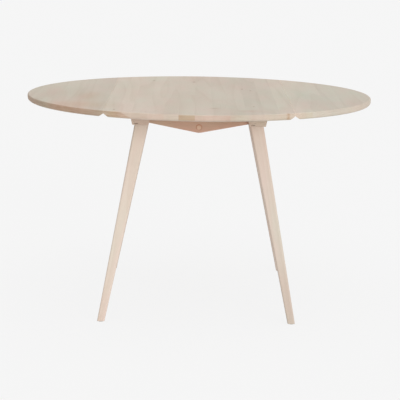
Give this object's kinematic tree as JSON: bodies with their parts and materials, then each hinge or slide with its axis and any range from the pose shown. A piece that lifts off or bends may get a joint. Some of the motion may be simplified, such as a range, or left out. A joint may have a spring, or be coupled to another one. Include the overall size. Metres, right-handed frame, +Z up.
{
  "type": "drop-leaf folding table",
  "caption": "Oval wooden table whose two hinged leaves drop to make it narrow, on splayed tapered legs with V-shaped aprons and sliding leaf stays.",
  "frame": {"origin": "floor, below the middle of the oval top", "axes": "+X along the length of the opened table, towards the right-hand leaf; -Y towards the camera; +Z up"},
  "size_m": [1.21, 1.0849, 0.735],
  "materials": {
    "top_wood": "matt, pale bare ash or beech, staves edge-glued",
    "frame_wood": "matt, pale bare ash or beech",
    "steel": "zinc-plated, satin",
    "glide": "moulded nylon"
  },
  "bodies": {
    "frame": {"apron_dowels": "frame_wood", "apron_front": "frame_wood", "apron_rear": "frame_wood", "bearer_left": "frame_wood", "bearer_right": "frame_wood", "bearer_screws": "steel", "centre_panel": "top_wood", "foot_glides": "glide", "hinge_fixed_left_front": "steel", "hinge_fixed_left_middle": "steel", "hinge_fixed_left_rear": "steel", "hinge_fixed_right_front": "steel", "hinge_fixed_right_middle": "steel", "hinge_fixed_right_rear": "steel", "hinge_fixed_screws": "steel", "hinge_pins_left": "steel", "hinge_pins_right": "steel", "leg_front_left": "frame_wood", "leg_front_right": "frame_wood", "leg_rear_left": "frame_wood", "leg_rear_right": "frame_wood", "stay_bracket_fixed_front_left": "steel", "stay_bracket_fixed_front_right": "steel", "stay_bracket_fixed_rear_left": "steel", "stay_bracket_fixed_rear_right": "steel", "stay_rivets_fixed": "steel", "stay_screws_fixed": "steel", "stretcher_rod": "frame_wood"},
    "leaf_left": {"hinge_leaf_left_front": "steel", "hinge_leaf_left_middle": "steel", "hinge_leaf_left_rear": "steel", "leaf_left": "top_wood", "leaf_left_screws": "steel", "stay_bracket_leaf_front_left": "steel", "stay_bracket_leaf_rear_left": "steel", "stay_rivets_left": "steel"},
    "leaf_right": {"hinge_leaf_right_front": "steel", "hinge_leaf_right_middle": "steel", "hinge_leaf_right_rear": "steel", "leaf_right": "top_wood", "leaf_right_screws": "steel", "stay_bracket_leaf_front_right": "steel", "stay_bracket_leaf_rear_right": "steel", "stay_rivets_right": "steel"},
    "stay_inner_front_left": {"stay_arm_inner_front_left": "steel", "stay_stud_front_left": "steel"},
    "stay_outer_front_left": {"stay_arm_outer_front_left": "steel"},
    "stay_inner_rear_left": {"stay_arm_inner_rear_left": "steel", "stay_stud_rear_left": "steel"},
    "stay_outer_rear_left": {"stay_arm_outer_rear_left": "steel"},
    "stay_inner_front_right": {"stay_arm_inner_front_right": "steel", "stay_stud_front_right": "steel"},
    "stay_outer_front_right": {"stay_arm_outer_front_right": "steel"},
    "stay_inner_rear_right": {"stay_arm_inner_rear_right": "steel", "stay_stud_rear_right": "steel"},
    "stay_outer_rear_right": {"stay_arm_outer_rear_right": "steel"}
  },
  "joints": [
    {"name": "leaf_left_fold", "type": "hinge", "parent": "frame", "child": "leaf_left", "pos_m": [-0.31, 0, 0.72015], "axis": [0, -1, 0], "range_deg": [0, 90]},
    {"name": "leaf_right_fold", "type": "hinge", "parent": "frame", "child": "leaf_right", "pos_m": [0.31, 0, 0.72015], "axis": [0, 1, 0], "range_deg": [0, 90]},
    {"name": "stay_inner_front_left_turn", "type": "hinge", "parent": "frame", "child": "stay_inner_front_left", "pos_m": [-0.13, -0.13, 0.68], "axis": [0, -1, 0], "range_deg": [0, 45]},
    {"name": "stay_outer_front_left_turn", "type": "hinge", "parent": "leaf_left", "child": "stay_outer_front_left", "pos_m": [-0.49332, -0.13, 0.7], "axis": [0, -1, 0], "range_deg": [-45, 0]},
    {"name": "stay_inner_rear_left_turn", "type": "hinge", "parent": "frame", "child": "stay_inner_rear_left", "pos_m": [-0.13, 0.13, 0.68], "axis": [0, -1, 0], "range_deg": [0, 45]},
    {"name": "stay_outer_rear_left_turn", "type": "hinge", "parent": "leaf_left", "child": "stay_outer_rear_left", "pos_m": [-0.49332, 0.13, 0.7], "axis": [0, -1, 0], "range_deg": [-45, 0]},
    {"name": "stay_inner_front_right_turn", "type": "hinge", "parent": "frame", "child": "stay_inner_front_right", "pos_m": [0.13, -0.13, 0.68], "axis": [0, 1, 0], "range_deg": [0, 45]},
    {"name": "stay_outer_front_right_turn", "type": "hinge", "parent": "leaf_right", "child": "stay_outer_front_right", "pos_m": [0.49332, -0.13, 0.7], "axis": [0, 1, 0], "range_deg": [-45, 0]},
    {"name": "stay_inner_rear_right_turn", "type": "hinge", "parent": "frame", "child": "stay_inner_rear_right", "pos_m": [0.13, 0.13, 0.68], "axis": [0, 1, 0], "range_deg": [0, 45]},
    {"name": "stay_outer_rear_right_turn", "type": "hinge", "parent": "leaf_right", "child": "stay_outer_rear_right", "pos_m": [0.49332, 0.13, 0.7], "axis": [0, 1, 0], "range_deg": [-45, 0]}
  ],
  "couplings": [
    {"joint": "stay_inner_front_left_turn", "follows": "leaf_left_fold", "ratio": 0.5},
    {"joint": "stay_outer_front_left_turn", "follows": "leaf_left_fold", "ratio": -0.5},
    {"joint": "stay_inner_rear_left_turn", "follows": "leaf_left_fold", "ratio": 0.5},
    {"joint": "stay_outer_rear_left_turn", "follows": "leaf_left_fold", "ratio": -0.5},
    {"joint": "stay_inner_front_right_turn", "follows": "leaf_right_fold", "ratio": 0.5},
    {"joint": "stay_outer_front_right_turn", "follows": "leaf_right_fold", "ratio": -0.5},
    {"joint": "stay_inner_rear_right_turn", "follows": "leaf_right_fold", "ratio": 0.5},
    {"joint": "stay_outer_rear_right_turn", "follows": "leaf_right_fold", "ratio": -0.5}
  ]
}
